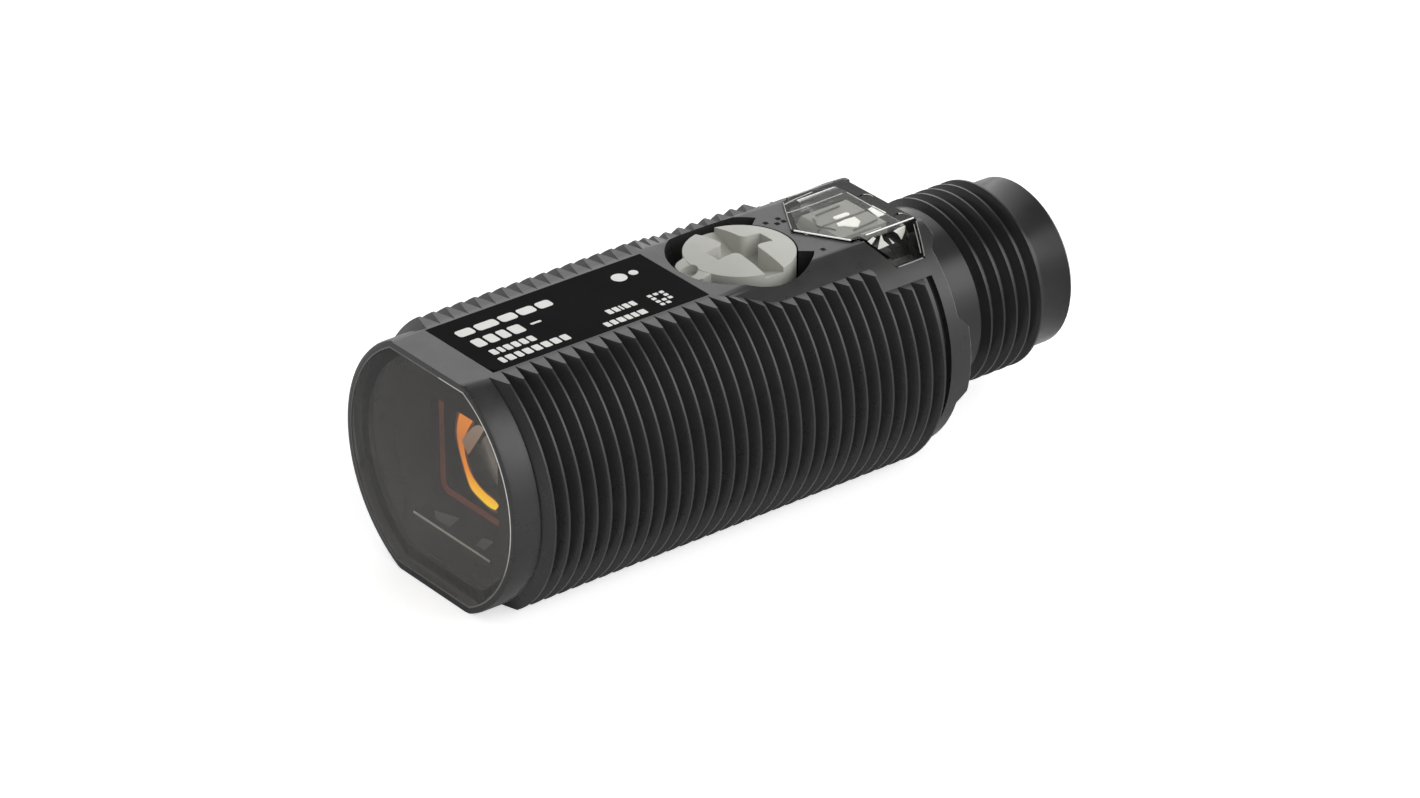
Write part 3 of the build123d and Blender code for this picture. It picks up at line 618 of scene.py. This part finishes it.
def flat_ring(name, ro, zo, ri, zi, y0, y1, mat, n=120):
    """Ring with the window's outline: a circle with flats above and below."""
    def at(r, half, a):
        x, z = r * math.cos(a), r * math.sin(a)
        if abs(z) > half:
            x, z = x * half / abs(z), math.copysign(half, z)
        return x, z
    loops = [[(*at(r, h, 2 * math.pi * i / n), y) for i in range(n)] for r, h, y in ((ro, zo, y0), (ri, zi, y0), (ri, zi, y1), (ro, zo, y1))]
    verts = [(x, y, z) for l in loops for x, z, y in l]
    faces = [(k * n + i, k * n + (i + 1) % n, ((k + 1) % 4) * n + (i + 1) % n, ((k + 1) % 4) * n + i) for k in range(4) for i in range(n)]
    return new_object(name, verts, faces, mat, "sensor", 40)


# light along the window's edge and round the back of the pane
RIM = glow("window_rim", [(0.0, srgb(84, 84, 82)), (0.5, srgb(96, 96, 93)), (1.0, srgb(112, 112, 109))], -8, 8, 0.2, axis=0)
RIMLIT = glow("window_rim_lit", [(0.0, srgb(120, 120, 117)), (0.35, srgb(214, 213, 206)), (0.8, srgb(226, 225, 218)), (1.0, srgb(170, 170, 165))], -3.5, 7, 0.4)
flat_ring("window_rim_line", 7.965, 7.115, 7.87, 7.02, 0.008, 0.14, RIM)
rods("window_rim_light", [[(1.2, 0.03, 7.07), (2.4, 0.03, 7.07), (3.6, 0.03, 7.07)] + [(7.93 * math.cos(math.radians(a)), 0.03, 7.93 * math.sin(math.radians(a))) for a in range(62, -27, -4)]],
     0.034, RIMLIT, lift=(0, 1, 0.01))
BACKRIM = glow("pane_back_rim", [(0.0, srgb(150, 150, 146)), (0.3, srgb(128, 128, 124)), (1.0, srgb(120, 120, 117))], -8, 8, 0.3, axis=0)
flat_ring("pane_back_line", 7.5, 6.85, 7.36, 6.74, 1.52, 1.56, BACKRIM)


# ---------------------------------------------------------------------------
# floor and light
# ---------------------------------------------------------------------------
def plane(name, size, z, mat):
    me = bpy.data.meshes.new(name)
    s = size / 2
    me.from_pydata([(-s, -s, z), (s, -s, z), (s, s, z), (-s, s, z)], [], [(0, 1, 2, 3)])
    o = bpy.data.objects.new(name, me)
    bpy.context.scene.collection.objects.link(o)
    o.data.materials.append(mat)
    return o


fm = Mat("floor_white")
fm.link(fm.ramp(fm.noise(0.02, 2.0), [(0.0, (0.80, 0.80, 0.80)), (1.0, (0.82, 0.82, 0.82))]), fm.b.inputs["Base Color"])
fm.put("Roughness", 0.9)
fm.put("Specular IOR Level", 0.05)
fm.put("Emission Color", (1, 1, 1, 1))
fm.put("Emission Strength", 0.0)
ray = fm.add("ShaderNodeLightPath").outputs["Is Camera Ray"]
fm.link(fm.span(ray, 0.0, 1.0, 0.0, 0.60), fm.b.inputs["Emission Strength"])
floor = plane("floor", 6.0, -0.0075 - 0.00002, fm.m)

# studio: white strips run beside the object, with dark gaps between them, and
# it darkens towards the front; tone goes by the angle about the barrel's axis
world = bpy.data.worlds.new("world")
bpy.context.scene.world = world
world.use_nodes = True
wt = world.node_tree
bg = wt.nodes["Background"]


def wnode(kind, *args, op=None):
    n = wt.nodes.new(kind)
    if op:
        n.operation = op
    for k, a in enumerate(args):
        if hasattr(a, "links"):
            wt.links.new(a, n.inputs[k])
        else:
            n.inputs[k].default_value = a
    return n


STRIPS = [(-180, 0.45), (0, 0.38), (8, 0.40), (18, 0.62), (27, 0.9), (50, 0.9), (60, 0.50), (68, 0.07), (98, 0.07),
          (108, 0.30), (125, 0.45), (150, 0.52), (180, 0.48)]
LIGHT_GAIN = 3.0
sep = wnode("ShaderNodeSeparateXYZ", wnode("ShaderNodeTexCoord").outputs["Generated"])
ang = wnode("ShaderNodeMath", sep.outputs[2], sep.outputs[0], op="ARCTAN2").outputs[0]
pos = wnode("ShaderNodeMath", ang, 0.5 / math.pi, 0.5, op="MULTIPLY_ADD").outputs[0]
strip = wt.nodes.new("ShaderNodeValToRGB")
wt.links.new(pos, strip.inputs["Fac"])
el = strip.color_ramp.elements
while len(el) > 1:
    el.remove(el[-1])
for k, (deg, v) in enumerate(STRIPS):
    p = (deg + 180) / 360
    x = el[0] if k == 0 else el.new(p)
    x.position = p
    x.color = (v, v, v, 1)
front = wnode("ShaderNodeMapRange")
wt.links.new(sep.outputs[1], front.inputs["Value"])
for k, v in (("From Min", -0.75), ("From Max", 0.25), ("To Min", 0.25), ("To Max", 1.0)):
    front.inputs[k].default_value = v
tone = wnode("ShaderNodeMath", strip.outputs["Color"], front.outputs[0], op="MULTIPLY").outputs[0]
seen = wnode("ShaderNodeLightPath").outputs["Is Camera Ray"]
gain = wnode("ShaderNodeMath", tone, LIGHT_GAIN, op="MULTIPLY").outputs[0]
pick = wnode("ShaderNodeMapRange")
wt.links.new(seen, pick.inputs["Value"])
wt.links.new(gain, pick.inputs["To Min"])
pick.inputs["To Max"].default_value = 1.0
bg.inputs["Color"].default_value = (1, 1, 1, 1)
wt.links.new(pick.outputs[0], bg.inputs["Strength"])


def area(name, loc_mm, target_mm, size_mm, power, size_y=None, color=(1, 1, 1)):
    d = bpy.data.lights.new(name, "AREA")
    d.energy = power
    d.color = color
    d.size = size_mm * MM
    if size_y:
        d.shape = "RECTANGLE"
        d.size_y = size_y * MM
    o = bpy.data.objects.new(name, d)
    bpy.context.scene.collection.objects.link(o)
    p, t = Vector(loc_mm) * MM, Vector(target_mm) * MM
    z = (p - t).normalized()
    o.matrix_world = Matrix.Translation(p) @ z.to_track_quat("Z", "Y").to_matrix().to_4x4()
    return o
